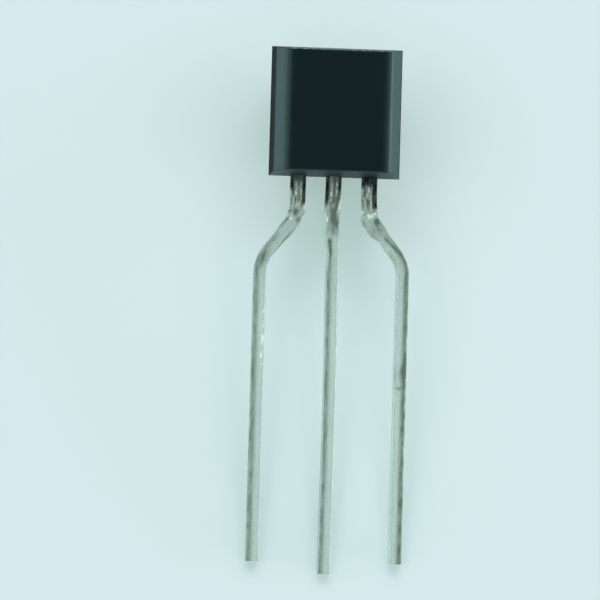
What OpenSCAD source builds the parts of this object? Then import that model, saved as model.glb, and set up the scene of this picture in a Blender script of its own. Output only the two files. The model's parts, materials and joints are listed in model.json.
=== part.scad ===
// Small through-hole triac: a half-round moulded case with a flat front, three leads
// stamped from one strip of copper, and the chip with its two bond wires inside.
// The outer leads are formed outwards to twice the pitch at which they leave the case.
// It lies as it comes to rest, flat front up, on the lower edge of its round back and
// the tip of its middle lead. +Y runs from the lead tips to the top of the case.
// The origin is on the surface, under the middle of the part.

/* [Case] */
// Width at the parting plane, which is the plane of the leads
case_w = 4.64; // [4.2:0.02:5.2]
// Height, from the end where the leads come out to the top
case_h = 4.6; // [4.2:0.1:5.2]
// Depth from the parting plane to the flat front
front_depth = 1.3; // [1.1:0.05:1.6]
// Depth from the parting plane to the crown of the round back
back_depth = 2.3; // [1.9:0.05:2.3]
// Width of the flat front
flat_w = 3.6; // [3.2:0.02:3.8]
// Depth of the slanted edges beside the flat front
bevel_depth = 0.45; // [0.3:0.05:0.6]
// Mould draft of both ends and of the front half's sides
draft = 7; // [4:0.5:9]

/* [Leads] */
// Thickness of the strip
lead_t = 0.4; // [0.34:0.01:0.46]
// Width of a lead below its neck
lead_w = 0.45; // [0.4:0.01:0.5]
// Width of the neck near the case
neck_w = 0.54; // [0.5:0.01:0.56]
// Length of the neck outside the case, along the lead
neck_len = 2.1; // [1.75:0.05:2.4]
// Length over which the neck draws in to the width of the lead
neck_taper = 0.25; // [0.15:0.05:0.35]
// Length of each lead outside the case, along the lead
lead_len = 14.05; // [8:0.05:16]
// Pitch at the case
case_pitch = 1.27; // [1.1:0.01:1.4]
// Pitch at the tips, after forming
tip_pitch = 2.54; // [2.3:0.01:2.8]
// Straight run from the case to the first bend
bend_start = 1.2; // [0.9:0.05:1.4]
// Angle of the slanted run of an outer lead
bend_angle = 38.5; // [30:0.5:45]
// Radius of the bend next to the case, at the middle of the lead
upper_bend_r = 0.6; // [0.45:0.05:0.8]
// Radius of the bend above the tips, at the middle of the lead
lower_bend_r = 1.3; // [0.8:0.05:1.5]
// Width across the two stubs that are left where the tie bar is cut away
stub_w = 0.6; // [0.58:0.01:0.7]
// Length of a stub along the lead
stub_len = 0.36; // [0.25:0.01:0.5]

/* [Inside the case] */
// Plastic above the flag that carries the chip
top_cover = 0.7; // [0.5:0.05:1]
// Width of the flag
flag_w = 2.6; // [2.2:0.05:2.8]
// Width of the flag that stands out beyond its lead
flag_lip = 0.12; // [0.05:0.01:0.2]
// Height of the flag
flag_h = 1.7; // [1.5:0.05:1.8]
// Gap between the flag and the bond posts
post_gap = 0.35; // [0.25:0.05:0.5]
// Width of a bond post
post_w = 0.8; // [0.6:0.05:0.9]
// Height of a bond post
post_h = 0.5; // [0.4:0.05:0.7]
// Width and height of the chip
die_w = 1.25; // [1:0.05:1.4]
// Thickness of the chip
die_t = 0.2; // [0.15:0.01:0.25]
// Thickness of the solder under the chip
solder_t = 0.03; // [0.02:0.005:0.05]
// Rim of solder that shows round the chip
solder_rim = 0.06; // [0.03:0.01:0.1]
// Diameter of the main terminal's bond wire
main_wire_d = 0.15; // [0.12:0.01:0.2]
// Diameter of the gate's bond wire
gate_wire_d = 0.1; // [0.08:0.01:0.12]
// Plastic in front of the bond wires
wire_cover = 0.25; // [0.2:0.01:0.35]
// Distance from the chip's edges to the middle of a bond pad
pad_inset = 0.28; // [0.22:0.01:0.32]
// Rim of a bond wire's pressed foot
foot_rim = 0.04; // [0.02:0.01:0.06]
// Thickness of a bond wire's pressed foot
foot_t = 0.03; // [0.02:0.005:0.05]

/* [Hidden] */
$fn = 64;

epoxy_colour = "#1d2427";
tin_colour = "#a7b2ac";
solder_colour = "#8f9496";
silicon_colour = "#5a6472";
wire_colour = "#d5d8da";

// Case: how far the drafted faces lean in, and the circle of the round back
front_lean = front_depth * tan(draft);
back_lean = back_depth * tan(draft);
bevel_start = front_depth - bevel_depth;
bevel_w = case_w - 2 * bevel_start * tan(draft);
back_r = (pow(case_w / 2, 2) + pow(back_depth, 2)) / (2 * back_depth);

// Outer leads: the slanted run that brings them to the pitch of the tips
forming_offset = tip_pitch - case_pitch;
bends_offset = (upper_bend_r + lower_bend_r) * (1 - cos(bend_angle));
slant_len = (forming_offset - bends_offset) / sin(bend_angle);
upper_arc = upper_bend_r * bend_angle * PI / 180;
lower_arc = lower_bend_r * bend_angle * PI / 180;
slant_start = bend_start + upper_arc;
lower_start = slant_start + slant_len;
tail_start = lower_start + lower_arc;
// The stubs sit at the middle of the upper bend, and an outline takes its points round a bend in steps
stub_at = bend_start + upper_arc / 2;
bend_steps = 10;
// The neck's taper runs on as far again inside the lead, so that the two outlines cross
taper_end = neck_len + 2 * neck_taper;
taper_w = 2 * lead_w - neck_w;

// Inside: the flag hangs from the top of the case, and the posts stand below it
flag_y = case_h - top_cover - flag_h;
flag_x = case_pitch + neck_w / 2 + flag_lip - flag_w;
post_y = flag_y - post_gap - post_h;
strip_top = lead_t / 2;
die_x = flag_x + flag_w / 2;
die_y = flag_y + flag_h / 2;
die_bottom = strip_top + solder_t;
die_top = die_bottom + die_t;
solder_w = die_w + 2 * solder_rim;
pad_reach = die_w / 2 - pad_inset;
main_pad = [die_x - pad_reach, die_y, die_top];
gate_pad = [die_x + pad_reach, die_y - pad_reach, die_top];
main_post = [-case_pitch, post_y + post_h / 2, strip_top];
gate_post = [0, post_y + post_h / 2, strip_top];
// Angle by which a bond wire's arc runs on past its bond, before it is cut off flush
bond_lap = 8;

// Rest: the plane that touches the back's lower edge and the middle lead's tip
rest_tilt = atan2(back_depth - lead_t / 2, lead_len + back_lean);
rest_lift = back_depth * cos(rest_tilt) - back_lean * sin(rest_tilt);
parting_end = case_h * cos(rest_tilt);
back_end = (case_h - back_lean) * cos(rest_tilt) + back_depth * sin(rest_tilt);
tip_end = -lead_len * cos(rest_tilt) - lead_t / 2 * sin(rest_tilt);
rest_shift = -(max(parting_end, back_end) + tip_end) / 2;

// Lays the part down from the frame of its leads: X across them, Y up the case, Z to the front
module at_rest() {
    translate([0, rest_shift, rest_lift])
        rotate([rest_tilt, 0, 0])
            children();
}

// Section of the case across the leads: drafted sides and slanted edges in front, round behind
module case_section() {
    polygon([
        [-case_w / 2, 0],
        [case_w / 2, 0],
        [bevel_w / 2, bevel_start],
        [flat_w / 2, front_depth],
        [-flat_w / 2, front_depth],
        [-bevel_w / 2, bevel_start]
    ]);
    intersection() {
        translate([0, back_r - back_depth])
            circle(r = back_r);
        translate([-case_w, -2 * back_depth])
            square([2 * case_w, 2 * back_depth]);
    }
}

// Side of the case: both ends lean in from the parting plane, so that each mould half lets go
module case_side() {
    polygon([
        [0, 0],
        [front_lean, front_depth],
        [case_h - front_lean, front_depth],
        [case_h, 0],
        [case_h - back_lean, -back_depth],
        [back_lean, -back_depth]
    ]);
}

module case_form() {
    intersection() {
        translate([0, case_h, 0])
            rotate([90, 0, 0])
                linear_extrude(case_h)
                    case_section();
        rotate([90, 0, 90])
            linear_extrude(2 * case_w, center = true)
                case_side();
    }
}

// Share of a stretch of the lead that lies before s, from 0 to 1
function share(s, start, length) = max(0, min(1, (s - start) / length));

// Heading of a formed lead at s along it from the case, in degrees from -Y towards the outside
function heading(s) =
    bend_angle * (share(s, bend_start, upper_arc) - share(s, lower_start, lower_arc));

// Place of a formed lead's centre line at s: straight, bend, slanted run, bend and straight in turn
function centre(s) =
    let(
        upper = bend_angle * share(s, bend_start, upper_arc),
        slant = slant_len * share(s, slant_start, slant_len),
        lower = bend_angle * (1 - share(s, lower_start, lower_arc))
    )
    [
        upper_bend_r * (1 - cos(upper)) + slant * sin(bend_angle)
            + lower_bend_r * (cos(lower) - cos(bend_angle)),
        -min(s, bend_start) - upper_bend_r * sin(upper) - slant * cos(bend_angle)
            - lower_bend_r * (sin(bend_angle) - sin(lower)) - max(0, s - tail_start)
    ];

// Edge of a formed lead at s, to one side of its centre line
function edge(s, offset) = centre(s) + offset * [cos(heading(s)), sin(heading(s))];

// Where an outline needs points along the two bends
bend_places = concat(
    [for (i = [0 : bend_steps]) bend_start + upper_arc * i / bend_steps],
    [for (i = [0 : bend_steps]) lower_start + lower_arc * i / bend_steps]
);

// Outline of a formed lead between two places along it, with the neck's taper past the second or without
module formed_outline(from, to, width, tapered = false) {
    places = concat([from], [for (s = bend_places) if (s > from && s < to) s], [to]);
    last = len(places) - 1;
    polygon(concat(
        [for (i = [0 : last]) edge(places[i], -width / 2)],
        tapered ? [edge(taper_end, -taper_w / 2), edge(taper_end, taper_w / 2)] : [],
        [for (i = [0 : last]) edge(places[last - i], width / 2)]
    ));
}

// The same for a straight lead
module straight_outline(from, to, width, tapered = false) {
    polygon(concat(
        [[width / 2, -from], [-width / 2, -from], [-width / 2, -to]],
        tapered ? [[-taper_w / 2, -taper_end], [taper_w / 2, -taper_end]] : [],
        [[width / 2, -to]]
    ));
}

// An outer lead that turns towards +X: neck, stubs of the cut tie bar, and the slimmer rest
module formed_lead(inside) {
    translate([case_pitch, 0]) {
        formed_outline(-inside, neck_len, neck_w, tapered = true);
        formed_outline(stub_at - stub_len / 2, stub_at + stub_len / 2, stub_w);
        formed_outline(neck_len - lead_w, lead_len, lead_w);
    }
}

// The middle lead, with its neck and stubs level with the others before forming
module straight_lead(inside) {
    straight_outline(-inside, neck_len, neck_w, tapered = true);
    straight_outline(stub_at - stub_len / 2, stub_at + stub_len / 2, stub_w);
    straight_outline(neck_len - lead_w, lead_len, lead_w);
}

// The widened head of a lead, where a bond wire lands
module bond_post(x) {
    translate([x - post_w / 2, post_y])
        square([post_w, post_h]);
}

// Stamped from flat strip: an outline, with the parting plane half way through it
module stamped() {
    linear_extrude(lead_t, center = true)
        children();
}

module main_1_strip() {
    stamped() {
        mirror([1, 0])
            formed_lead(post_y + post_h / 2);
        bond_post(-case_pitch);
    }
}

module gate_strip() {
    stamped() {
        straight_lead(post_y + post_h / 2);
        bond_post(0);
    }
}

module main_2_strip() {
    stamped() {
        formed_lead(flag_y + flag_h / 2);
        translate([flag_x, flag_y])
            square([flag_w, flag_h]);
    }
}

module solder_layer() {
    translate([die_x - solder_w / 2, die_y - solder_w / 2, strip_top])
        cube([solder_w, solder_w, solder_t]);
}

module chip() {
    translate([die_x - die_w / 2, die_y - die_w / 2, die_bottom])
        cube([die_w, die_w, die_t]);
}

// The pressed foot of a bond wire
module wire_foot(bond, d) {
    translate(bond)
        cylinder(d = d + 2 * foot_rim, h = foot_t);
}

// A bond wire: one arc from the pad over to the post, up to a set cover below the flat front.
// The arc meets both bonds and has its top at top_z, so its radius is the smaller root of
// p * r * r - q * r + c = 0, with p, q and c from the span and from the rise over each bond.
module bond_wire(pad, post, d) {
    span = norm([post.x - pad.x, post.y - pad.y]);
    turn = atan2(post.y - pad.y, post.x - pad.x);
    top_z = front_depth - wire_cover - d / 2;
    rise = top_z - pad.z;
    drop = top_z - post.z;
    square_sum = pow(span, 2) + pow(rise, 2) + pow(drop, 2);
    p = 4 * pow(rise - drop, 2);
    q = 4 * (rise + drop) * (square_sum - 2 * rise * drop);
    c = pow(square_sum, 2) - 4 * pow(rise * drop, 2);
    arc_r = 2 * c / (q + sqrt(pow(q, 2) - 4 * p * c));
    arc_x = sqrt(2 * arc_r * rise - pow(rise, 2));
    post_angle = acos(1 - drop / arc_r) + bond_lap;
    pad_angle = acos(1 - rise / arc_r) + bond_lap;
    difference() {
        translate([pad.x, pad.y, top_z - arc_r])
            rotate([0, 0, turn])
                translate([arc_x, 0, 0])
                    rotate([90, 0, 0])
                        rotate([0, 0, 90 - post_angle])
                            rotate_extrude(angle = post_angle + pad_angle)
                                translate([arc_r, 0])
                                    circle(d = d);
        chip();
        stamped()
            bond_post(post.x);
    }
    wire_foot(pad, d);
    wire_foot(post, d);
}

module main_wire() {
    bond_wire(main_pad, main_post, main_wire_d);
}

module gate_wire() {
    bond_wire(gate_pad, gate_post, gate_wire_d);
}

// The case is moulded round everything that it holds
module moulded_case() {
    color(epoxy_colour)
        at_rest()
            difference() {
                case_form();
                main_1_strip();
                gate_strip();
                main_2_strip();
                solder_layer();
                chip();
                main_wire();
                gate_wire();
            }
}

module lead_main_terminal_1() {
    color(tin_colour)
        at_rest()
            main_1_strip();
}

module lead_gate() {
    color(tin_colour)
        at_rest()
            gate_strip();
}

module lead_main_terminal_2() {
    color(tin_colour)
        at_rest()
            main_2_strip();
}

module die_solder() {
    color(solder_colour)
        at_rest()
            solder_layer();
}

module triac_die() {
    color(silicon_colour)
        at_rest()
            chip();
}

module wire_main_terminal_1() {
    color(wire_colour)
        at_rest()
            main_wire();
}

module wire_gate() {
    color(wire_colour)
        at_rest()
            gate_wire();
}

moulded_case();
lead_main_terminal_1();
lead_gate();
lead_main_terminal_2();
die_solder();
triac_die();
wire_main_terminal_1();
wire_gate();
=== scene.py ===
import json
import math

import bpy
import numpy as np
from mathutils import Matrix, Vector


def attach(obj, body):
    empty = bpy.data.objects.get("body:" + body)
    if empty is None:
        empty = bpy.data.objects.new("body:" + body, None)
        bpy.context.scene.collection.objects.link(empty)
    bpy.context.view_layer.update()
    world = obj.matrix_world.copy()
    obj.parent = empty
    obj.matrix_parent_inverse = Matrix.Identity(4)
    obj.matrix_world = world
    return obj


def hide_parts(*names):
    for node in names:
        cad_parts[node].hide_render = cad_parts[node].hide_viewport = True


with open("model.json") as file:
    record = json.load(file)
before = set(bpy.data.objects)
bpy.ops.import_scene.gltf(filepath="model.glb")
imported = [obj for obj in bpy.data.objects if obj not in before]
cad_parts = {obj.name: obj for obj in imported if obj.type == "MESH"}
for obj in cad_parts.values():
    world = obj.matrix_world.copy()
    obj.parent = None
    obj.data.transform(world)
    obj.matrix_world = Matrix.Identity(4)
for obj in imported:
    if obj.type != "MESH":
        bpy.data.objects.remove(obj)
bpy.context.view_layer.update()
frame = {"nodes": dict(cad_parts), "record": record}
print("frame loaded:", sorted(frame["nodes"]))

# The part's own axes, from its mounts: across the leads, up the case and out of the flat front.
# Pieces are worked out in millimetres from where the middle lead leaves the case, then laid down.
mm = 0.001
leadReach = 14.05
mounts = {mount["name"]: mount for mount in frame["record"]["mounts"]}
leadDown = np.array(mounts["gate_tip"]["axis"], float)
outFront = np.array(mounts["front_face"]["axis"], float)
partAxes = np.stack([np.array([1.0, 0.0, 0.0]), -leadDown, outFront])
caseRoot = np.array(mounts["gate_tip"]["pos_m"], float) - leadDown * leadReach * mm


def layDown(points):
    # place = root + across * x + up * y + out * z
    return caseRoot + (points * mm) @ partAxes


def ramp(s, at, width):
    # smooth step from 0 to 1 about a place: t * t * (3 - 2 * t)
    t = np.clip((s - at) / width + 0.5, 0, 1)
    return t * t * (3 - 2 * t)


def hump(s, at, width):
    # bell curve of height 1 about a place
    return np.exp(-((s - at) / width) ** 2)


def joinRings(grid):
    # all rows as one list, with one entry each for the first and the last row
    return np.vstack([grid[0, :1], grid[1:-1].reshape(-1, 3), grid[-1, :1]])


def meshFromRings(name, rings, attributes):
    # rings (rows, points, 3): each row is a closed loop, and the first and the last row are one point each
    rows, count = rings.shape[:2]
    points = joinRings(rings)
    around = np.arange(count)
    after = np.roll(around, -1)
    base = 1 + count * np.arange(rows - 3)[:, None]
    quads = np.stack([base + around, base + after, base + count + after, base + count + around], -1)
    lastRow = 1 + count * (rows - 3)
    startFan = np.stack([np.zeros(count, int), 1 + after, 1 + around], -1)
    endFan = np.stack([np.full(count, len(points) - 1), lastRow + around, lastRow + after], -1)
    faces = startFan.tolist() + quads.reshape(-1, 4).tolist() + endFan.tolist()
    mesh = bpy.data.meshes.new(name)
    mesh.from_pydata(layDown(points), [], faces)
    for key, values in attributes.items():
        layer = mesh.attributes.new(key, "FLOAT_VECTOR", "POINT")
        layer.data.foreach_set("vector", joinRings(values).astype(np.float32).ravel())
    mesh.update()
    mesh.shade_smooth()
    piece = bpy.data.objects.new(name, mesh)
    bpy.context.scene.collection.objects.link(piece)
    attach(piece, "root")
    return piece


def linearColour(hexCode):
    # sRGB to linear: c / 12.92 up to 0.04045, else ((c + 0.055) / 1.055) to the power 2.4
    values = [int(hexCode[i:i + 2], 16) / 255 for i in (1, 3, 5)]
    return [c / 12.92 if c <= 0.04045 else ((c + 0.055) / 1.055) ** 2.4 for c in values] + [1.0]


def addNode(tree, kind, settings={}, values={}, links={}):
    # a node, with its settings, and with values and links by its input's name or number
    node = tree.nodes.new(kind)
    for key, value in settings.items():
        setattr(node, key, value)
    for key, value in values.items():
        node.inputs[key].default_value = value
    for key, socket in links.items():
        tree.links.new(socket, node.inputs[key])
    return node


def newMaterial(name):
    material = bpy.data.materials.new(name)
    material.use_nodes = True
    material.node_tree.nodes.clear()
    shader = addNode(material.node_tree, "ShaderNodeBsdfPrincipled")
    addNode(material.node_tree, "ShaderNodeOutputMaterial", links={"Surface": shader.outputs["BSDF"]})
    return material, material.node_tree, shader


# A Mix node's colour inputs and its colour result, by number, and a Map Range node's inputs in order
mixA, mixB, mixOut = 6, 7, 2
rangeInputs = ("From Min", "From Max", "To Min", "To Max")

# Moulded case, in mm and degrees
case = {
    "width": 4.64, "height": 4.6, "frontDepth": 1.3, "backDepth": 2.3, "flatWidth": 3.6, "bevelDepth": 0.45,
    "draft": 7.0,
    "edgeRounds": (0.08, 0.27, 0.3, 0.08),  # right side, right of the flat, left of the flat, left side
    "endRound": 0.045, "cornerRound": 0.012, "cornerBlend": 0.15,  # round an end, along the flat and past it
    "flashHeight": 0.012, "flashWidth": 0.035,
    "arcSteps": 9, "sideSteps": 10, "bevelSteps": 6, "flatSteps": 30, "backSteps": 96, "endSteps": 8,
    "endShares": (0.0, 0.2, 0.4, 0.6, 0.8, 0.95), "heightSteps": 25, "closeShare": 0.008, "closeGap": 0.03,
    "finish": {
        "endBand": 0.03, "endBlend": 0.04, "pastFlat": 0.1, "pastFlatBlend": 0.3, "rubDepth": 0.3,
        "footDull": 0.65, "cornerEase": 0.55, "topDull": 0.6, "edgeDull": 0.6, "edgeWidth": 0.12,
        "rightShift": 0.04, "mattGap": 0.03,
    },
}


def filletCorner(before, corner, after, radius, steps):
    # arc that touches both sides of a corner: its centre lies radius / sin(half angle) from the corner
    toBefore = (before - corner) / np.linalg.norm(before - corner)
    toAfter = (after - corner) / np.linalg.norm(after - corner)
    half = math.acos(toBefore @ toAfter) / 2
    middle = (toBefore + toAfter) / np.linalg.norm(toBefore + toAfter)
    centre = corner + middle * radius / math.sin(half)
    start = corner + toBefore * radius / math.tan(half) - centre
    end = corner + toAfter * radius / math.tan(half) - centre
    first = math.atan2(start[1], start[0])
    turn = (math.atan2(end[1], end[0]) - first + math.pi) % (2 * math.pi) - math.pi
    angles = first + turn * np.linspace(0, 1, steps)
    return centre + radius * np.stack([np.cos(angles), np.sin(angles)], -1)


def edgePoints(start, end, steps):
    # even points between two ends, with one more close to each end so that a flat is shaded flat
    close = case["closeGap"] / np.linalg.norm(end - start)
    shares = np.concatenate([[close], np.linspace(0, 1, steps + 2)[1:-1], [1 - close]])
    return start + shares[:, None] * (end - start)


def caseOutline():
    # section across the leads, anticlockwise: right side, bevel, flat, bevel, left side, then the back's arc
    bevelStart = case["frontDepth"] - case["bevelDepth"]
    half = case["width"] / 2
    shoulder = half - bevelStart * math.tan(math.radians(case["draft"]))
    right = np.array([[half, 0], [shoulder, bevelStart], [case["flatWidth"] / 2, case["frontDepth"]]])
    corners = np.vstack([right, right[::-1] * [-1, 1]])
    arcs = []
    for i, radius in enumerate(case["edgeRounds"]):
        arcs.append(filletCorner(*corners[i:i + 3], radius, case["arcSteps"]))
    stretches = [corners[:1], edgePoints(corners[0], arcs[0][0], case["sideSteps"])]
    for i, key in enumerate(("bevelSteps", "flatSteps", "bevelSteps")):
        stretches += [arcs[i], edgePoints(arcs[i][-1], arcs[i + 1][0], case[key])]
    stretches += [arcs[-1], edgePoints(arcs[-1][-1], corners[-1], case["sideSteps"])]
    # the back's arc goes through both sides at the parting plane and is backDepth deep
    radius = (half ** 2 + case["backDepth"] ** 2) / (2 * case["backDepth"])
    rise = radius - case["backDepth"]
    lean = math.asin(rise / radius)
    angles = np.pi + lean + np.linspace(0, np.pi - 2 * lean, case["backSteps"] + 1)[:-1]
    stretches.append(np.stack([radius * np.cos(angles), rise + radius * np.sin(angles)], -1))
    return np.vstack(stretches)


def caseFinish(rings):
    # X: how rubbed the flat's top rim is; Y: how much duller than the front the ends and the flat's edges
    # are, where the dullness of the lower end eases off towards its corners
    finish = case["finish"]
    x, y, z = np.moveaxis(rings, -1, 0)
    lean = math.tan(math.radians(case["draft"])) * np.abs(z)
    half = case["flatWidth"] / 2
    upTop = ramp(y + lean, case["height"] - finish["endBand"], finish["endBlend"])
    atFoot = 1 - ramp(y - lean, finish["endBand"], finish["endBlend"])
    pastFlat = ramp(np.abs(x), half + finish["pastFlat"], finish["pastFlatBlend"])
    rubbed = upTop * hump(z, case["frontDepth"], finish["rubDepth"]) * (1 - pastFlat)
    atEdges = hump(x, -half, finish["edgeWidth"]) + hump(x, half - finish["rightShift"], finish["edgeWidth"])
    dulled = finish["footDull"] * atFoot * (1 - finish["cornerEase"] * pastFlat)
    dulled = np.maximum(dulled, finish["topDull"] * upTop)
    dulled = np.maximum(dulled, finish["edgeDull"] * atEdges * (z > 0))
    return np.stack([rubbed, dulled, 0 * rubbed], -1)


def makeCase():
    # rows: middle of the lower end, out to its edge, round the edge, up the sides, and the same over the top
    outline = caseOutline()
    chord = np.roll(outline, -1, 0) - np.roll(outline, 1, 0)
    normals = np.stack([chord[:, 1], -chord[:, 0]], -1) / np.linalg.norm(chord, axis=1)[:, None]
    # a low ridge of flash along the parting line
    outline = outline + normals * case["flashHeight"] * hump(outline[:, 1:], 0, case["flashWidth"])
    # the ends' edges are rounder along the flat than past it
    pastFlat = ramp(np.abs(outline[:, :1]), case["flatWidth"] / 2, case["cornerBlend"])
    radius = case["endRound"] + (case["cornerRound"] - case["endRound"]) * pastFlat
    shares = np.array(case["endShares"])[:, None, None]
    turn = np.linspace(0, np.pi / 2, case["endSteps"])[:, None, None]
    flatRows = (outline - normals * radius) * shares
    roundRows = outline - normals * radius * (1 - np.sin(turn))
    sections = np.concatenate([flatRows, roundRows])
    lift = np.concatenate([0 * radius * shares, radius * (1 - np.cos(turn))])
    # both ends lean in by the draft on either side of the parting plane
    lean = np.abs(sections[..., 1:]) * math.tan(math.radians(case["draft"]))
    low = np.concatenate([sections[..., :1], lean + lift, sections[..., 1:]], -1)
    high = low[::-1] * [1, -1, 1] + [0, case["height"], 0]
    even = np.linspace(0, 1, case["heightSteps"] + 1)[1:-1]
    along = np.concatenate([[case["closeShare"]], even, [1 - case["closeShare"]]])[:, None, None]
    rings = np.concatenate([low, low[-1] + along * (high[0] - low[-1]), high])
    shell = meshFromRings("case_shell", rings[:, ::-1], {"finish": caseFinish(rings)[:, ::-1]})
    # the sides and the back have the second material
    depth = outline[:, 1]
    bevelStart = case["frontDepth"] - case["bevelDepth"]
    belowBevel = (depth < bevelStart - case["finish"]["mattGap"]) & (np.roll(depth, -1) < bevelStart)
    isSide = np.zeros((len(rings) - 1, len(outline)), bool)
    isSide[len(low) - 2:2 - len(high)] = belowBevel
    shell.data.polygons.foreach_set("material_index", isSide[:, ::-1].ravel().astype(np.int32))
    return shell


# Patterns are (size in mm, detail), the grain about twice as coarse as the real one so that it shows
epoxy = {
    "grain": (0.045, 3), "cloud": (1.4, 4), "scuff": (0.16, 3),
    "scuffColour": "#75827f", "scuffRange": (0.35, 0.65), "grainRange": (0.3, 0.7), "dulling": 0.35,
    "bump": 0.05, "bumpHeight": 0.006, "refraction": 1.56, "mirrorTint": "#bcf6f4",
    "finishes": [
        {"name": "satin_moulded_epoxy", "colours": ("#02090c", "#0a171b"), "roughness": (0.3, 0.35),
         "mirror": 0.58},
        {"name": "matt_moulded_epoxy", "colours": ("#141b18", "#1a221f"), "roughness": (0.6, 0.7),
         "mirror": 0.04},
    ],
}


def mouldedEpoxy(look):
    # silica-filled epoxy: near black with a cold tint and an even fine grain, and pale scuffs on the flat's
    # top rim; satin on the front, its bevels and the ends, and matt on the sides and the back, where the
    # mould is rougher
    material, tree, shader = newMaterial(look["name"])
    place = addNode(tree, "ShaderNodeTexCoord").outputs["Object"]
    finish = addNode(tree, "ShaderNodeAttribute", {"attribute_name": "finish"}).outputs["Vector"]
    finish = addNode(tree, "ShaderNodeSeparateXYZ", links={"Vector": finish})
    noises = []
    for size, detail in (epoxy["grain"], epoxy["cloud"], epoxy["scuff"]):
        noise = addNode(tree, "ShaderNodeTexNoise", {}, {"Scale": 1 / (size * mm), "Detail": detail},
                        {"Vector": place})
        noises.append(noise.outputs["Fac"])
    grain, cloud, scuffs = noises
    darkest, palest = (linearColour(code) for code in look["colours"])
    colour = addNode(tree, "ShaderNodeMix", {"data_type": "RGBA"}, {mixA: darkest, mixB: palest},
                     {"Factor": cloud})
    rubbed = addNode(tree, "ShaderNodeMath", {"operation": "MULTIPLY"}, {},
                     {0: scuffs, 1: finish.outputs["X"]})
    rubbed = addNode(tree, "ShaderNodeMapRange", {}, dict(zip(rangeInputs, epoxy["scuffRange"])),
                     {"Value": rubbed.outputs["Value"]})
    colour = addNode(tree, "ShaderNodeMix", {"data_type": "RGBA"},
                     {mixB: linearColour(epoxy["scuffColour"])},
                     {"Factor": rubbed.outputs["Result"], mixA: colour.outputs[mixOut]})
    roughRange = epoxy["grainRange"] + look["roughness"]
    rough = addNode(tree, "ShaderNodeMapRange", {}, dict(zip(rangeInputs, roughRange)), {"Value": grain})
    rough = addNode(tree, "ShaderNodeMath", {"operation": "MULTIPLY_ADD"}, {1: epoxy["dulling"]},
                    {0: finish.outputs["Y"], 2: rough.outputs["Result"]})
    bump = addNode(tree, "ShaderNodeBump", {},
                   {"Strength": epoxy["bump"], "Distance": epoxy["bumpHeight"] * mm}, {"Height": grain})
    tree.links.new(colour.outputs[mixOut], shader.inputs["Base Color"])
    tree.links.new(rough.outputs["Value"], shader.inputs["Roughness"])
    tree.links.new(bump.outputs["Normal"], shader.inputs["Normal"])
    shader.inputs["IOR"].default_value = epoxy["refraction"]
    shader.inputs["Specular IOR Level"].default_value = look["mirror"]
    shader.inputs["Specular Tint"].default_value = linearColour(epoxy["mirrorTint"])
    return material


caseShell = makeCase()
for look in epoxy["finishes"]:
    caseShell.data.materials.append(mouldedEpoxy(look))
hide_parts("moulded_case")
print("case:", len(caseShell.data.polygons), "faces")

# Leads: sizes that all three share, in mm and degrees
lead = {
    "thickness": 0.4, "width": 0.45, "length": leadReach, "edgeRound": 0.05,
    "neckWidth": 0.54, "neckLength": 2.1, "neckTaper": 0.25, "casePitch": 1.27, "tipPitch": 2.54,
    "bendStart": 1.2, "bendAngle": 38.5, "upperBend": 0.6, "lowerBend": 1.3,
    "stubWidth": 0.6, "stubLength": 0.36, "stubBlend": 0.03,
    "shearSizes": (0.004, 0.003), "shearTurns": (31, 53), "shearAt": 0.35, "shearLength": 0.6,
    "arcSteps": 7, "faceSteps": 17, "edgeShares": (0.08, 0.5, 0.92), "endShare": 0.85,
    "step": 0.03, "leastStep": 0.002, "closeReach": 0.025, "closeSteps": 9,
}

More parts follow.
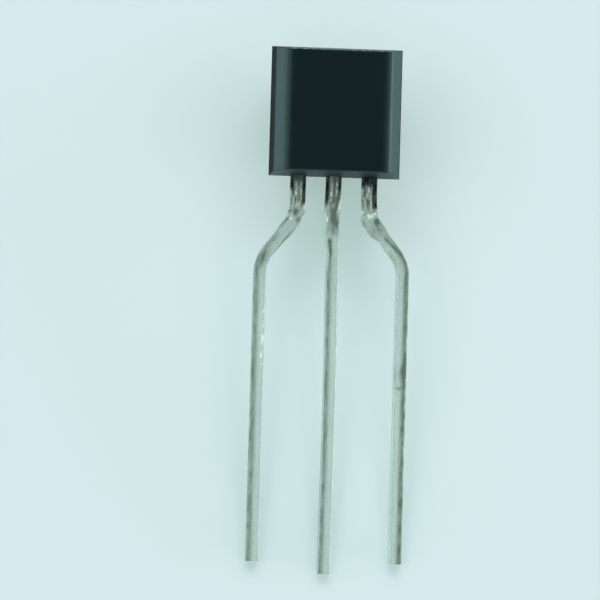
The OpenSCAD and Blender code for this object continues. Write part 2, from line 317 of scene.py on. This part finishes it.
# Each lead's own, in mm: the side it is formed to and its head inside the case, its sways (along, length,
# size), the side with painted shade and how dark that shade is, how much painted shade lies along its left
# and right rim, how far and how wide the moulding left resin down its left and right edge, darkened there
# with painted shade of the case's dark reflection, how long and dark its root is, where a stain and painted
# contact shade lie, lumps of its edges (edge, along, length, size) and marks, dark below zero and bright
# above (across, along, width, length, strength): the dark marks are smudges and painted shade of the trimmed
# stub's cut facets, and the bright ones are painted glints and some real scrapes. The phase makes each
# lead's sheared edges uneven in another way.
post = {"low": 1.35, "high": 1.85, "left": 0.4, "right": 0.4}
flag = {"low": 2.2, "high": 3.9, "left": 2.21, "right": 0.39}
leadPieces = [
    {
        "name": "main_terminal_1_lead", "node": "lead_main_terminal_1",
        "side": -1, "head": post, "phase": 0.3, "sways": [(1.3, 0.35, -0.03)],
        "shadedSide": -1, "sideShade": 0.59, "rimShade": (0.4, 0.5),
        "resinAndShade": ((0.5, 0.11), (1.0, 0.13)), "root": (0.18, 0.75),
        "lumps": [(1, 1.45, 0.17, -0.05)],
        "marksAndGlints": [
            (-0.08, 0.55, 0.05, 0.3, 0.8), (0.12, 0.6, 0.035, 0.5, 0.75), (0.04, 0.75, 0.06, 0.3, -0.4),
            (-0.04, 1.28, 0.09, 0.14, -0.85), (0.12, 1.5, 0.07, 0.1, -0.6), (-0.11, 1.57, 0.06, 0.12, 1.0),
            (-0.21, 1.7, 0.05, 0.1, -0.6), (-0.25, 1.31, 0.04, 0.14, -0.6), (0.2, 2.2, 0.05, 0.5, -0.3),
            (-0.22, 1.9, 0.05, 0.25, -0.4), (0.02, 3.35, 0.1, 0.35, -0.5), (0.0, 2.3, 0.3, 0.6, -0.07),
            (0.15, 5.2, 0.06, 0.2, 0.95), (0.15, 5.7, 0.05, 0.25, 0.95), (0.14, 6.2, 0.07, 0.24, 1.1),
            (0.11, 6.78, 0.08, 0.2, 1.0), (0.13, 7.1, 0.045, 0.07, 1.0),
        ],
    },
    {
        "name": "gate_lead", "node": "lead_gate",
        "side": 0, "head": post, "phase": 1.7, "sways": [(1.5, 0.9, -0.045), (8.1, 4.4, 0.045)],
        "shadedSide": -1, "sideShade": 0.62, "rimShade": (-0.05, 0.45),
        "resinAndShade": ((0.95, 0.11), (0.55, 0.11)), "root": (0.1, 0.5),
        "lumps": [(-1, 1.4, 0.2, -0.035), (-1, 2.75, 0.4, -0.065), (1, 1.4, 0.2, -0.035)],
        "marksAndGlints": [
            (-0.08, 0.6, 0.04, 0.5, 0.85), (0.12, 0.35, 0.04, 0.35, 0.75), (0.03, 0.45, 0.035, 0.4, -0.8),
            (0.04, 1.15, 0.1, 0.33, -1.2), (-0.17, 1.5, 0.06, 0.13, 1.0), (0.2, 1.25, 0.06, 0.07, 0.8),
            (0.07, 1.55, 0.17, 0.2, -0.55), (0.17, 1.71, 0.06, 0.12, -0.5), (0.03, 1.87, 0.25, 0.22, -0.4),
            (-0.09, 2.28, 0.08, 0.1, -0.65), (-0.06, 2.6, 0.06, 0.3, -0.6), (0.15, 2.7, 0.08, 0.3, 0.62),
        ],
    },
    {
        "name": "main_terminal_2_lead", "node": "lead_main_terminal_2",
        "side": 1, "head": flag, "phase": 2.9, "sways": [(1.3, 0.35, 0.03)],
        "shadedSide": 1, "sideShade": 0.79, "rimShade": (0.15, 0.45),
        "resinAndShade": ((0.35, 0.11), (1.1, 0.18)), "root": (0.28, 0.95),
        "lumps": [
            (-1, 1.22, 0.07, -0.12), (-1, 1.47, 0.1, 0.045), (-1, 1.73, 0.13, 0.05), (-1, 1.96, 0.15, 0.05),
            (-1, 2.3, 0.14, -0.035),
        ],
        "marksAndGlints": [
            (-0.03, 0.42, 0.07, 0.14, 0.8), (0.05, 0.72, 0.04, 0.3, 0.9), (-0.03, 0.96, 0.05, 0.16, -1.1),
            (-0.01, 1.35, 0.15, 0.11, 1.1), (0.17, 1.29, 0.12, 0.08, 1.0), (0.14, 1.66, 0.09, 0.13, -1.0),
            (-0.27, 1.48, 0.08, 0.1, -0.3), (0.0, 1.9, 0.4, 0.3, -0.38), (0.04, 2.4, 0.07, 0.13, -0.6),
            (-0.15, 2.5, 0.06, 0.25, 0.66), (0.05, 2.8, 0.05, 0.3, -0.3), (-0.17, 3.1, 0.05, 0.3, -0.3),
            (0.08, 7.2, 0.1, 0.2, -0.4), (-0.06, 7.35, 0.18, 0.3, -0.33), (-0.07, 7.82, 0.11, 0.07, -0.62),
            (-0.1, 4.2, 0.08, 0.6, 0.6),
        ],
    },
]

# How wear and painted light and shade lie on all three: the shaded side's band and the rim band are painted
# shade and the pale band is painted light, in place of the shading of a rounded lead, and resin lies with
# painted shade near the case. Bands across a lead are (place, width) in shares of its half width, and a
# start along it or towards its faces is (place, blend) in mm
wearAndShade = {
    "shadeBand": (0.58, 0.45), "shadeStart": (lead["neckLength"] + 0.3, 0.7),
    "rimBand": (0.98, 0.18), "rimStart": (1.1, 0.4), "rimFaces": (0.12, 0.1),
    "paleBand": (-0.4, 0.4), "paleStart": (4.5, 1.5), "paleness": 0.45,
    "markDepth": 1.4, "shadeLimits": (-1, 1.6),
    "resinShadeStart": -0.2, "resinShadeBlend": 0.09, "resinShadeFade": 0.3, "rootFade": 0.25,
}


def leadPath(s, side):
    # centre line by length from the case: straight, upper bend, slanted run, lower bend, straight
    if side == 0:
        return np.stack([0 * s, -s], -1), 0 * s
    angle = math.radians(lead["bendAngle"])
    offset = lead["tipPitch"] - lead["casePitch"]
    slant = (offset - (lead["upperBend"] + lead["lowerBend"]) * (1 - math.cos(angle))) / math.sin(angle)
    slantAt = lead["bendStart"] + lead["upperBend"] * angle
    lowerAt = slantAt + slant
    tailAt = lowerAt + lead["lowerBend"] * angle
    upper = np.clip((s - lead["bendStart"]) / lead["upperBend"], 0, angle)
    along = np.clip(s - slantAt, 0, slant)
    lower = angle - np.clip((s - lowerAt) / lead["lowerBend"], 0, angle)
    x = (lead["upperBend"] * (1 - np.cos(upper)) + along * math.sin(angle)
         + lead["lowerBend"] * (np.cos(lower) - math.cos(angle)))
    y = -(np.minimum(s, lead["bendStart"]) + lead["upperBend"] * np.sin(upper) + along * math.cos(angle)
          + lead["lowerBend"] * (math.sin(angle) - np.sin(lower)) + np.maximum(0, s - tailAt))
    return np.stack([side * (lead["casePitch"] + x), y], -1), side * (upper + lower - angle)


def sectionLoop(left, right, half, radius):
    # rounded rectangle at each place, anticlockwise: four corner arcs, joined by straight sides
    arc = np.linspace(0, np.pi / 2, lead["arcSteps"])
    faceShares = np.linspace(0, 1, lead["faceSteps"] + 2)[1:-1]
    edgeShares = np.array(lead["edgeShares"])
    corners = []
    for quarter, (reach, high) in enumerate([(right, half), (-left, half), (-left, -half), (right, -half)]):
        angles = arc + quarter * np.pi / 2
        x = (reach - np.sign(reach) * radius)[:, None] + radius * np.cos(angles)
        z = high - math.copysign(radius, high) + radius * np.sin(angles) + 0 * x
        corners.append(np.stack([x, z], -1))
    stretches = []
    for i in range(4):
        start, end = corners[i][:, -1:], corners[(i + 1) % 4][:, :1]
        shares = edgeShares if i % 2 else faceShares
        stretches += [corners[i], start + shares[:, None] * (end - start)]
    return np.concatenate(stretches, 1)


def leadWearAndShade(piece, s, across, through, left, right):
    # X: painted shade down one side and along the rims, and dark marks, which are smudges and painted shade,
    # below zero where painted light makes the other side paler; Y: resin down the neck's edges, with painted
    # shade of the case's dark reflection, and a stain with painted contact shade over its root; Z: bright
    # marks, which are painted glints and some real scrapes
    share = np.where(across < 0, across / left, across / right) * piece["shadedSide"]
    rimShade = np.where(across < 0, *piece["rimShade"]) * ramp(np.abs(through), *wearAndShade["rimFaces"])
    # painted shade down one side, standing in for the shading of a rounded lead
    shadeAndSmudge = piece["sideShade"] * hump(share, *wearAndShade["shadeBand"]) * ramp(s, *wearAndShade["shadeStart"])
    # painted shade along the rims
    shadeAndSmudge = shadeAndSmudge + rimShade * hump(np.abs(share), *wearAndShade["rimBand"]) * ramp(s, *wearAndShade["rimStart"])
    # painted light: the other side is paler lower down
    shadeAndSmudge = shadeAndSmudge - wearAndShade["paleness"] * hump(share, *wearAndShade["paleBand"]) * ramp(s, *wearAndShade["paleStart"])
    glints = 0 * s
    # dark marks are smudges and painted shade of the stub's cut facets; bright marks are painted glints and
    # some real scrapes
    for at, along, width, length, strength in piece["marksAndGlints"]:
        mark = hump(across, at, width) * hump(s, along, length)
        shadeAndSmudge = shadeAndSmudge + wearAndShade["markDepth"] * max(-strength, 0) * mark
        glints = np.maximum(glints, max(strength, 0) * mark)
    # dark down the neck's edges: resin, with painted shade of the case's dark reflection
    edgeGap = np.stack([across + left, right - across])
    reach, width = np.array(piece["resinAndShade"]).T[:, :, None, None]
    resinAndShade = ((1 - ramp(edgeGap, width, wearAndShade["resinShadeBlend"])) * (1 - ramp(s, reach, wearAndShade["resinShadeFade"]))).max(0)
    # a stain with painted contact shade at the root, where the lead leaves the case
    rootLength, rootShade = piece["root"]
    resinAndShade = np.maximum(resinAndShade, rootShade * (1 - ramp(s, rootLength, wearAndShade["rootFade"])))
    return np.stack([np.clip(shadeAndSmudge, *wearAndShade["shadeLimits"]), resinAndShade * (s > wearAndShade["resinShadeStart"]), glints], -1)


def closeEnds(grid, share):
    # rows with each end closed, through a loop of that share of its size, to its middle
    first, last = grid[:1], grid[-1:]
    firstMiddle = 0 * first + first.mean(1, keepdims=True)
    lastMiddle = 0 * last + last.mean(1, keepdims=True)
    return np.concatenate([firstMiddle, firstMiddle + share * (first - firstMiddle), grid,
                           lastMiddle + share * (last - lastMiddle), lastMiddle])


def makeLead(piece):
    # the section carried along the path, from the top of the head inside the case to the tip
    head = piece["head"]
    stubAt = lead["bendStart"] + lead["upperBend"] * math.radians(lead["bendAngle"]) / 2
    stubEnds = [stubAt - lead["stubLength"] / 2, stubAt + lead["stubLength"] / 2]
    # even rows, and closer ones where the width steps
    even = np.arange(-head["high"], lead["length"], lead["step"])
    close = np.linspace(-lead["closeReach"], lead["closeReach"], lead["closeSteps"])
    steps = [close + at for at in [-head["low"]] + stubEnds]
    s = np.unique(np.concatenate([even, *steps, [lead["length"]]]))
    s = s[np.append(True, np.diff(s) > lead["leastStep"])]
    # half width: the neck's, tapered to the lead's, and more along the stub
    taper = np.clip((lead["neckLength"] + lead["neckTaper"] - s) / lead["neckTaper"], 0, 1)
    stub = ramp(s, stubEnds[0], lead["stubBlend"]) * (1 - ramp(s, stubEnds[1], lead["stubBlend"]))
    half = lead["width"] / 2 + taper * (lead["neckWidth"] - lead["width"]) / 2
    half = half + stub * (lead["stubWidth"] - lead["neckWidth"]) / 2
    sides = []
    for edge, key in ((-1, "left"), (1, "right")):
        # the shear leaves the trimmed edge a little uneven
        uneven = 0 * s
        phases = (piece["phase"] * edge, 2 * piece["phase"])
        for size, turns, phase in zip(lead["shearSizes"], lead["shearTurns"], phases):
            uneven = uneven + size * np.sin(turns * s + phase)
        reach = half + uneven * hump(s, stubAt + lead["shearAt"], lead["shearLength"])
        for at, along, length, size in piece["lumps"]:
            reach = reach + size * hump(s, along, length) * (at == edge)
        sides.append(np.where(s < -head["low"], head[key], reach))
    left, right = sides
    section = sectionLoop(left, right, lead["thickness"] / 2, lead["edgeRound"])
    across, through = section[..., 0], section[..., 1]
    centre, heading = leadPath(s, piece["side"])
    for at, length, size in piece["sways"]:
        centre[:, 0] += size * hump(s, at, length)
    x = centre[:, :1] + across * np.cos(heading)[:, None]
    y = centre[:, 1:] + across * np.sin(heading)[:, None]
    rows = np.stack([x, y, through], -1)
    along = s[:, None] + 0 * across
    coords = np.stack([across, along, through], -1)
    wearShade = leadWearAndShade(piece, along, across, through, left[:, None], right[:, None])
    # the cut ends are evenly worn and evenly shaded
    attributes = {"leadCoord": closeEnds(coords, lead["endShare"]), "leadWearAndShade": closeEnds(wearShade, 0.0)}
    return meshFromRings(piece["name"], closeEnds(rows, lead["endShare"]), attributes)


# Patterns are (width, length) in mm, and ranges are (from, to) or (from, to, low, high)
plating = {
    "streak": (0.035, 0.9), "patch": (0.11, 0.45), "fleck": (0.07, 0.11),
    # Colours: two tones of clean tin; a paler tone, painted light on one side lower down; a grey-green
    # painted shade, also the colour of dark smudges; an olive film over the neck, with painted shade of the
    # case's reflection; near-black resin, with painted shade near the case; and near-white painted glints,
    # some of them real scrapes
    "clean": ("#bad3cb", "#d0e7e1"), "paintedLightSide": "#e0f7f1", "shadeAndSmudge": "#738b7b", "neckFilmShade": "#969a78",
    "resinAndShade": "#0d120a", "glintAndScrape": "#e8f9f0",
    "mottleRange": (0.75, 1.25), "varyRange": (0.3, 0.7, 0.6, 1.4),
    # the neck's painted dark and bright streaks and its film lie over its first 1 mm and fade out by 1.4 mm
    "neckRange": (1.0, 1.4, 1.0, 0.0), "darkRange": (0.54, 0.38), "brightRange": (0.54, 0.68, 0.0, 0.6),
    "neckFilmShadeShare": 0.16, "fleckWeight": 1.6, "glintRange": (1.4, 1.6), "roughRange": (0.0, 1.0, 0.62, 0.5),
    "resinShadeMatt": 0.3, "glintMatt": 0.85, "bump": 0.5, "bumpHeight": 0.004,
}


def tinnedCopper():
    # stamped copper strip, matt tin plated: pale soft grey with fine streaks along the lead; painted shade
    # down one side and along the rims, and painted light on the other side lower down, in place of a rounded
    # lead's shading;
    # dark smudges; moulding resin bled on to the neck's edges, with painted shade of the case's dark
    # reflection there and over the neck, and a stain with painted contact shade at the root; and bright
    # painted glints, some of them real scrapes
    material, tree, shader = newMaterial("tin_plated_copper")
    place = addNode(tree, "ShaderNodeAttribute", {"attribute_name": "leadCoord"}).outputs["Vector"]
    along = addNode(tree, "ShaderNodeSeparateXYZ", links={"Vector": place}).outputs["Y"]
    wearShade = addNode(tree, "ShaderNodeAttribute", {"attribute_name": "leadWearAndShade"}).outputs["Vector"]
    wearShade = addNode(tree, "ShaderNodeSeparateXYZ", links={"Vector": wearShade})
    noises = []
    for width, length in (plating["streak"], plating["patch"], plating["fleck"]):
        drawn = addNode(tree, "ShaderNodeMapping", {}, {"Scale": (1 / width, 1 / length, 1 / width)},
                        {"Vector": place})
        noise = addNode(tree, "ShaderNodeTexNoise", {}, {"Scale": 1, "Detail": 3},
                        {"Vector": drawn.outputs["Vector"]})
        noises.append(noise.outputs["Fac"])
    streaks, patches, flecks = noises
    mottle = addNode(tree, "ShaderNodeMath", {}, {}, {0: streaks, 1: flecks})
    # the neck gets dark and bright streaks: painted shade and painted highlights that stand for the
    # reflections in its glossy tin
    sources = {"mottleRange": mottle.outputs["Value"], "varyRange": patches, "neckRange": along,
               "darkRange": patches, "brightRange": patches}
    ranges = {}
    for key, source in sources.items():
        values = dict(zip(rangeInputs, plating[key]))
        ranges[key] = addNode(tree, "ShaderNodeMapRange", {}, values, {"Value": source}).outputs["Result"]
    # how much of each wear, painted light and painted shade shows
    # painted light on the paler side
    paintedLightSide = addNode(tree, "ShaderNodeMath", {"operation": "MULTIPLY", "use_clamp": True}, {1: -1.0},
                    {0: wearShade.outputs["X"]})
    # grey-green: smudges and painted shade, with the neck's painted dark streaks
    shadeAmount = addNode(tree, "ShaderNodeMath", {"operation": "MULTIPLY"}, {},
                   {0: wearShade.outputs["X"], 1: ranges["varyRange"]})
    shadeAmount = addNode(tree, "ShaderNodeMath", {"operation": "MULTIPLY_ADD", "use_clamp": True}, {},
                   {0: ranges["neckRange"], 1: ranges["darkRange"], 2: shadeAmount.outputs["Value"]})
    # olive film over the neck, with painted shade of the case's reflection
    neckFilmShade = addNode(tree, "ShaderNodeMath", {"operation": "MULTIPLY"}, {1: plating["neckFilmShadeShare"]},
                   {0: ranges["neckRange"]})
    # resin with painted shade on the neck's edges, and a stain with painted contact shade at the root
    resinShaded = addNode(tree, "ShaderNodeMath", {"operation": "MULTIPLY", "use_clamp": True}, {},
                   {0: wearShade.outputs["Y"], 1: ranges["varyRange"]})
    clear = addNode(tree, "ShaderNodeMath", {"operation": "SUBTRACT"}, {0: 1.0}, {1: resinShaded.outputs["Value"]})
    # bright marks and the neck's painted bright streaks: painted glints, some of them real scrapes
    glinted = addNode(tree, "ShaderNodeMath", {"operation": "MULTIPLY_ADD"}, {1: plating["fleckWeight"]},
                   {0: flecks, 2: wearShade.outputs["Z"]})
    glinted = addNode(tree, "ShaderNodeMapRange", {}, dict(zip(rangeInputs, plating["glintRange"])),
                   {"Value": glinted.outputs["Value"]})
    glinted = addNode(tree, "ShaderNodeMath", {"operation": "MULTIPLY_ADD", "use_clamp": True}, {},
                   {0: ranges["neckRange"], 1: ranges["brightRange"], 2: glinted.outputs["Result"]})
    glinted = addNode(tree, "ShaderNodeMath", {"operation": "MULTIPLY"}, {},
                   {0: glinted.outputs["Value"], 1: clear.outputs["Value"]})
    # clean tin, and the wear, painted light and painted shade one over the other on it
    darker, lighter = (linearColour(code) for code in plating["clean"])
    colour = addNode(tree, "ShaderNodeMix", {"data_type": "RGBA"}, {mixA: darker, mixB: lighter},
                     {"Factor": ranges["mottleRange"]})
    layers = {"paintedLightSide": paintedLightSide, "shadeAndSmudge": shadeAmount, "neckFilmShade": neckFilmShade, "resinAndShade": resinShaded, "glintAndScrape": glinted}
    for key, amount in layers.items():
        colour = addNode(tree, "ShaderNodeMix", {"data_type": "RGBA"}, {mixB: linearColour(plating[key])},
                         {"Factor": amount.outputs["Value"], mixA: colour.outputs[mixOut]})
    rough = addNode(tree, "ShaderNodeMapRange", {}, dict(zip(rangeInputs, plating["roughRange"])),
                    {"Value": glinted.outputs["Value"]})
    # resin and fresh scrapes throw light every way, so they are less of a mirror than the tin; the painted
    # shade that goes with the resin and the painted glints that go with the scrapes are less of a mirror
    # with them
    metal = addNode(tree, "ShaderNodeMath", {"operation": "MULTIPLY"}, {1: plating["resinShadeMatt"]},
                    {0: resinShaded.outputs["Value"]})
    metal = addNode(tree, "ShaderNodeMath", {"operation": "MULTIPLY_ADD"}, {1: plating["glintMatt"]},
                    {0: glinted.outputs["Value"], 2: metal.outputs["Value"]})
    metal = addNode(tree, "ShaderNodeMath", {"operation": "SUBTRACT", "use_clamp": True}, {0: 1.0},
                    {1: metal.outputs["Value"]})
    bump = addNode(tree, "ShaderNodeBump", {},
                   {"Strength": plating["bump"], "Distance": plating["bumpHeight"] * mm},
                   {"Height": streaks})
    tree.links.new(colour.outputs[mixOut], shader.inputs["Base Color"])
    tree.links.new(rough.outputs["Result"], shader.inputs["Roughness"])
    tree.links.new(metal.outputs["Value"], shader.inputs["Metallic"])
    tree.links.new(bump.outputs["Normal"], shader.inputs["Normal"])
    return material


tinPlate = tinnedCopper()
for piece in leadPieces:
    leadShell = makeLead(piece)
    leadShell.data.materials.append(tinPlate)
    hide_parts(piece["node"])
    print("lead:", piece["name"], len(leadShell.data.polygons), "faces")

# Pieces inside the case keep their solids: material name, colour, metallic, roughness and grain in mm
bondWire = ("drawn_aluminium", "#d5d8da", 1.0, 0.3, 0.02)
insidePieces = {
    "die_solder": ("tin_solder", "#8f9496", 1.0, 0.4, 0.04),
    "triac_die": ("polished_silicon", "#5a6472", 0.6, 0.12, 0.2),
    "wire_main_terminal_1": bondWire,
    "wire_gate": bondWire,
}
insideGloss = {"detail": 2, "smoothest": 0.7, "roughest": 1.3}


def insideMaterial(name, colour, metallic, roughness, grain):
    # plain metal or silicon with a slight unevenness of its gloss
    if name in bpy.data.materials:
        return bpy.data.materials[name]
    material, tree, shader = newMaterial(name)
    place = addNode(tree, "ShaderNodeTexCoord").outputs["Object"]
    noise = addNode(tree, "ShaderNodeTexNoise", {},
                    {"Scale": 1 / (grain * mm), "Detail": insideGloss["detail"]}, {"Vector": place})
    glossRange = (0.0, 1.0, insideGloss["smoothest"] * roughness, insideGloss["roughest"] * roughness)
    gloss = addNode(tree, "ShaderNodeMapRange", {}, dict(zip(rangeInputs, glossRange)),
                    {"Value": noise.outputs["Fac"]})
    tree.links.new(gloss.outputs["Result"], shader.inputs["Roughness"])
    shader.inputs["Base Color"].default_value = linearColour(colour)
    shader.inputs["Metallic"].default_value = metallic
    return material


for node, look in insidePieces.items():
    materials = frame["nodes"][node].data.materials
    materials.clear()
    materials.append(insideMaterial(*look))
print("inside pieces:", len(insidePieces))

# Floor and light, in metres and degrees
studio = {
    "floorSize": 1.6, "floorColour": "#e1ecfc", "floorRoughness": 0.9,
    "glowColour": "#caecd6", "floorGlow": 0.4,
    "tentColour": "#eefafa", "horizon": 1.0, "zenith": 0.04, "zenithFrom": 0.9,
    "boxDistance": 0.5, "azimuths": {"left": -90, "right": 90, "front": 180, "back": 0},
    "softbox": {
        "elevation": 48, "width": 0.5, "height": 0.3,
        "levels": {"left": 1.2, "right": 0.7, "front": 0.4, "back": 3.0},
    },
    "strip": {"elevation": 7, "width": 0.6, "height": 0.11, "levels": {"left": 3.2, "right": 8.2}},
}


def mattCard():
    # pale matt card; part of what is seen of it is an even, slightly greener glow, which keeps shadows faint
    material, tree, shader = newMaterial("matt_card")
    shader.inputs["Base Color"].default_value = linearColour(studio["floorColour"])
    shader.inputs["Roughness"].default_value = studio["floorRoughness"]
    shader.inputs["Specular IOR Level"].default_value = 0.0
    glow = addNode(tree, "ShaderNodeEmission", {}, {"Color": linearColour(studio["glowColour"])})
    rays = addNode(tree, "ShaderNodeLightPath")
    seen = addNode(tree, "ShaderNodeMath", {"operation": "MAXIMUM"}, {},
                   {0: rays.outputs["Is Camera Ray"], 1: rays.outputs["Is Glossy Ray"]})
    seen = addNode(tree, "ShaderNodeMath", {"operation": "MAXIMUM"}, {},
                   {0: seen.outputs["Value"], 1: rays.outputs["Is Transmission Ray"]})
    share = addNode(tree, "ShaderNodeMath", {"operation": "MULTIPLY"}, {1: studio["floorGlow"]},
                    {0: seen.outputs["Value"]})
    blend = addNode(tree, "ShaderNodeMixShader", {}, {},
                    {0: share.outputs["Value"], 1: shader.outputs["BSDF"], 2: glow.outputs["Emission"]})
    tree.links.new(blend.outputs["Shader"], tree.nodes["Material Output"].inputs["Surface"])
    return material


def makeFloor():
    # a square that reaches floorSize each way
    size = studio["floorSize"]
    corners = [(-size, -size, 0), (size, -size, 0), (size, size, 0), (-size, size, 0)]
    mesh = bpy.data.meshes.new("floor")
    mesh.from_pydata(corners, [], [(0, 1, 2, 3)])
    mesh.materials.append(mattCard())
    floor = bpy.data.objects.new("floor", mesh)
    bpy.context.scene.collection.objects.link(floor)


def makeWorld():
    # brighter round the horizon than overhead, as in a light tent with an open top
    world = bpy.data.worlds.new("light_tent")
    world.use_nodes = True
    tree = world.node_tree
    tree.nodes.clear()
    direction = addNode(tree, "ShaderNodeTexCoord").outputs["Generated"]
    height = addNode(tree, "ShaderNodeSeparateXYZ", links={"Vector": direction}).outputs["Z"]
    fade = (0.0, studio["zenithFrom"], studio["horizon"], studio["zenith"])
    level = addNode(tree, "ShaderNodeMapRange", {}, dict(zip(rangeInputs, fade)), {"Value": height})
    light = addNode(tree, "ShaderNodeBackground", {}, {"Color": linearColour(studio["tentColour"])},
                    {"Strength": level.outputs["Result"]})
    addNode(tree, "ShaderNodeOutputWorld", links={"Surface": light.outputs["Background"]})
    bpy.context.scene.world = world


def makeLamp(kind, side, level):
    # an even panel of that brightness, turned to the part: energy = level * pi * width * height
    panel = studio[kind]
    name = side + "_" + kind
    lamp = bpy.data.lights.new(name, "AREA")
    lamp.shape = "RECTANGLE"
    lamp.size = panel["width"]
    lamp.size_y = panel["height"]
    lamp.energy = level * math.pi * panel["width"] * panel["height"]
    azimuth = math.radians(studio["azimuths"][side])
    elevation = math.radians(panel["elevation"])
    towards = Vector((math.sin(azimuth) * math.cos(elevation), math.cos(azimuth) * math.cos(elevation),
                      math.sin(elevation)))
    turned = towards.to_track_quat("Z", "Y").to_matrix().to_4x4()
    panelLight = bpy.data.objects.new(name, lamp)
    panelLight.matrix_world = Matrix.Translation(towards * studio["boxDistance"]) @ turned
    bpy.context.scene.collection.objects.link(panelLight)


makeFloor()
makeWorld()
for kind in ("softbox", "strip"):
    for side, level in studio[kind]["levels"].items():
        makeLamp(kind, side, level)
print("studio ready")

# Camera, set so that the case's corners and the leads fall where the photograph has them, in mm and degrees
view = {
    "azimuth": 24.91, "elevation": 79.51, "roll": 26.27, "aim": (-1.076, 0.338, 1.5), "distance": 120.0,
    "pixelsPerMm": 28.17, "imageWidth": 600, "sensor": 36.0, "clipStart": 5.0,
}


def makeCamera():
    # lens = sensor * seen size of a millimetre at the aim * distance / image width
    azimuth, elevation, roll = (math.radians(view[key]) for key in ("azimuth", "elevation", "roll"))
    look = Vector((math.cos(elevation) * math.sin(azimuth), math.cos(elevation) * math.cos(azimuth),
                   -math.sin(elevation)))
    level = look.cross(Vector((0, 0, 1))).normalized()
    upright = level.cross(look)
    right = level * math.cos(roll) + upright * math.sin(roll)
    up = upright * math.cos(roll) - level * math.sin(roll)
    lens = bpy.data.cameras.new("camera")
    lens.sensor_width = view["sensor"]
    lens.lens = view["sensor"] * view["pixelsPerMm"] * view["distance"] / view["imageWidth"]
    lens.clip_start = view["clipStart"] * mm
    camera = bpy.data.objects.new("camera", lens)
    place = (Vector(view["aim"]) - look * view["distance"]) * mm
    camera.matrix_world = Matrix.Translation(place) @ Matrix((right, up, -look)).transposed().to_4x4()
    bpy.context.scene.collection.objects.link(camera)
    bpy.context.scene.camera = camera


makeCamera()
bpy.context.scene.view_settings.view_transform = "Standard"

print("scene ready")
